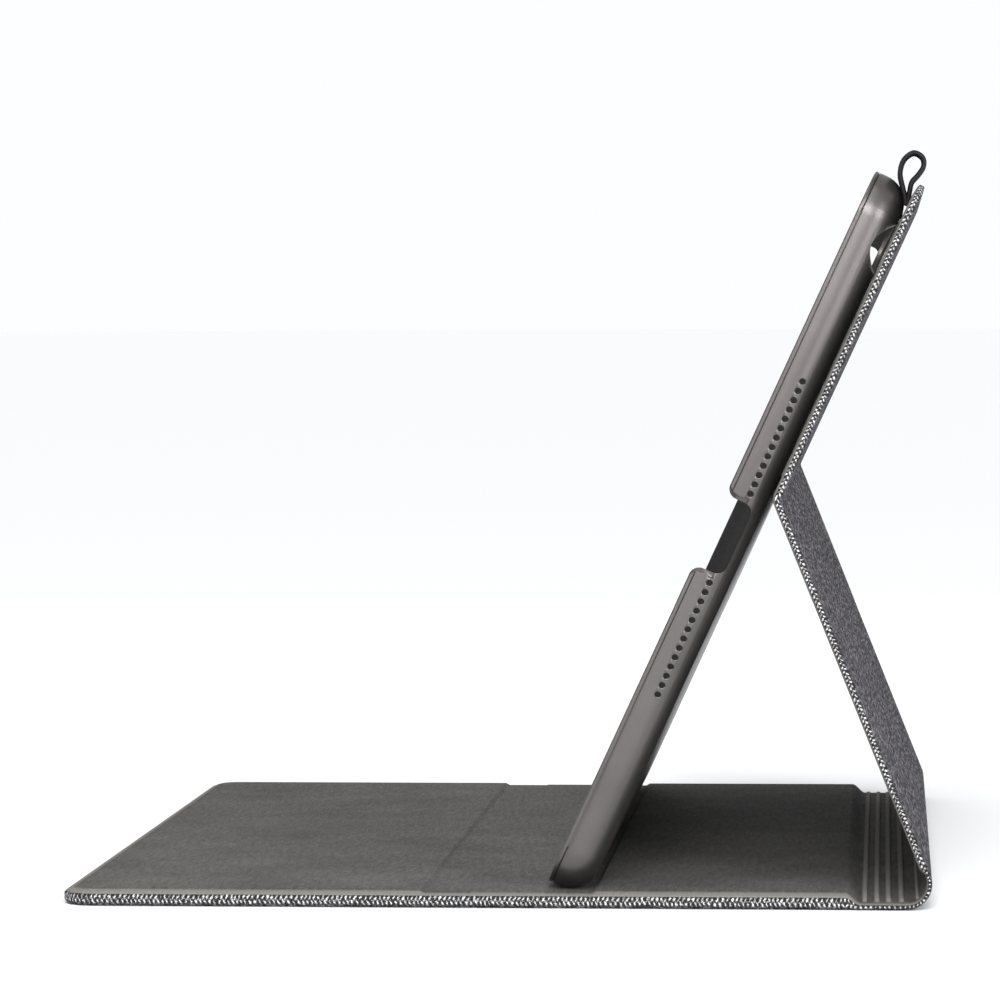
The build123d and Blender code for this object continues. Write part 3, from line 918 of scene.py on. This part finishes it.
def band(name, line, half_width, half_thick, material):
    """A flat band carried along a line in the side view: its section is a rounded oblong with two
    low cords on each face, set across the line's normal."""
    along_line = np.gradient(line, axis=0)
    along_line /= np.linalg.norm(along_line, axis=1)[:, None]
    normal = np.stack([-along_line[:, 1], along_line[:, 0]], 1)
    angle = np.linspace(0, 2 * np.pi, 48, endpoint=False)
    wide = half_width * np.sign(np.cos(angle)) * np.abs(np.cos(angle)) ** 0.3
    deep = half_thick * np.sign(np.sin(angle)) * np.abs(np.sin(angle)) ** 0.55
    deep = deep * (1 + 0.08 * np.cos(2 * np.pi * wide / 1.8))
    place = line[:, None, :] + normal[:, None, :] * deep[None, :, None]
    y = np.repeat((loop_y + wide)[None, :], len(line), 0)
    points = np.stack([place[..., 0], y, place[..., 1]], -1)
    run = np.concatenate([[0], np.cumsum(np.linalg.norm(np.diff(line, axis=0), axis=1))])
    rows, cols = y.shape
    uv = np.stack([np.repeat(run[:, None], cols, 1), y], -1)
    return piece_of(name, points, tube_faces(rows, cols), material, uv)


elastic_loop = band("elastic_loop", smooth_line(loop_line, 14), loop_half_width, loop_half_thick, elastic())
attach(elastic_loop, "upper_back")
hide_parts("pen_loop")


# ---- Floor, light and camera ----
# A plain white floor under an even sky and a broad soft sun, high in front. Soft lamps stand low in
# front and to the right, and a weak one behind. The camera looks along the case's long side.
scene = bpy.context.scene
scene.view_settings.view_transform = "Standard"
floor_finish = Finish("floor").surface(Base_Color=(0.92, 0.93, 0.94, 1), Roughness=0.9,
                                       Specular_IOR_Level=0.1)
floor_size = 40.0
floor_height = -0.0002
floor_mesh = bpy.data.meshes.new("floor")
floor_corners = [(x * floor_size, y * floor_size, floor_height)
                 for x, y in ((-1, -1), (1, -1), (1, 1), (-1, 1))]
floor_mesh.from_pydata(floor_corners, [], [(0, 1, 2, 3)])
floor_mesh.materials.append(floor_finish)
floor = bpy.data.objects.new("floor", floor_mesh)
scene.collection.objects.link(floor)

sky = bpy.data.worlds.new("sky")
sky.use_nodes = True
links = sky.node_tree.links
seen = sky.node_tree.nodes.new("ShaderNodeLightPath")
strength = sky.node_tree.nodes.new("ShaderNodeMapRange")
links.new(seen.outputs["Is Camera Ray"], strength.inputs["Value"])
strength.inputs["To Min"].default_value = 0.77
strength.inputs["To Max"].default_value = 1.0
background = sky.node_tree.nodes["Background"]
links.new(strength.outputs["Result"], background.inputs["Strength"])
background.inputs["Color"].default_value = (0.985, 0.992, 1.0, 1)
scene.world = sky

sun_data = bpy.data.lights.new("soft_sun", "SUN")
sun_data.energy = 1.0
sun_data.angle = np.radians(45)
sun = bpy.data.objects.new("soft_sun", sun_data)
sun.rotation_mode = "QUATERNION"
sun.rotation_quaternion = mathutils.Vector((0.04, 0.5, -1.0)).to_track_quat("-Z", "Y")
scene.collection.objects.link(sun)


def lamp(name, place, target, size, power):
    """A square soft lamp at a place, in metres, turned to face a target."""
    data = bpy.data.lights.new(name, "AREA")
    data.size = size
    data.energy = power
    made = bpy.data.objects.new(name, data)
    made.location = place
    toward = np.array(target) - np.array(place)
    made.rotation_mode = "QUATERNION"
    made.rotation_quaternion = mathutils.Vector(toward).to_track_quat("-Z", "Y")
    scene.collection.objects.link(made)


lamp("front_lamp", (0.06, -0.9, 0.42), (0.05, 0.0, 0.02), 0.35, 6.0)
lamp("side_lamp", (0.68, -0.85, 0.22), (0.03, 0.0, 0.05), 0.4, 6.0)
lamp("back_lamp", (-0.05, 0.95, 0.3), (0.04, 0.0, 0.02), 0.4, 1.0)
camera_place = np.array([0.087688, -1.172588, 0.132152])
camera_yaw, camera_pitch, camera_roll = -0.081455, -0.038991, -0.004466
ahead = np.array([np.sin(camera_yaw) * np.cos(camera_pitch), np.cos(camera_yaw) * np.cos(camera_pitch),
                  np.sin(camera_pitch)])
level_right = np.array([np.cos(camera_yaw), -np.sin(camera_yaw), 0.0])
level_up = np.cross(level_right, ahead)
camera_x = level_right * np.cos(camera_roll) + level_up * np.sin(camera_roll)
camera_y = level_up * np.cos(camera_roll) - level_right * np.sin(camera_roll)
view = bpy.data.cameras.new("camera")
view.lens = 170.355
view.sensor_width = 36.0
view.clip_start = 0.05
view.clip_end = 100.0
camera = bpy.data.objects.new("camera", view)
turned = np.stack([camera_x, camera_y, -ahead], 1)
placed = [(*axes, place) for axes, place in zip(turned, camera_place)]
camera.matrix_world = mathutils.Matrix([*placed, (0, 0, 0, 1)])
scene.collection.objects.link(camera)
scene.camera = camera
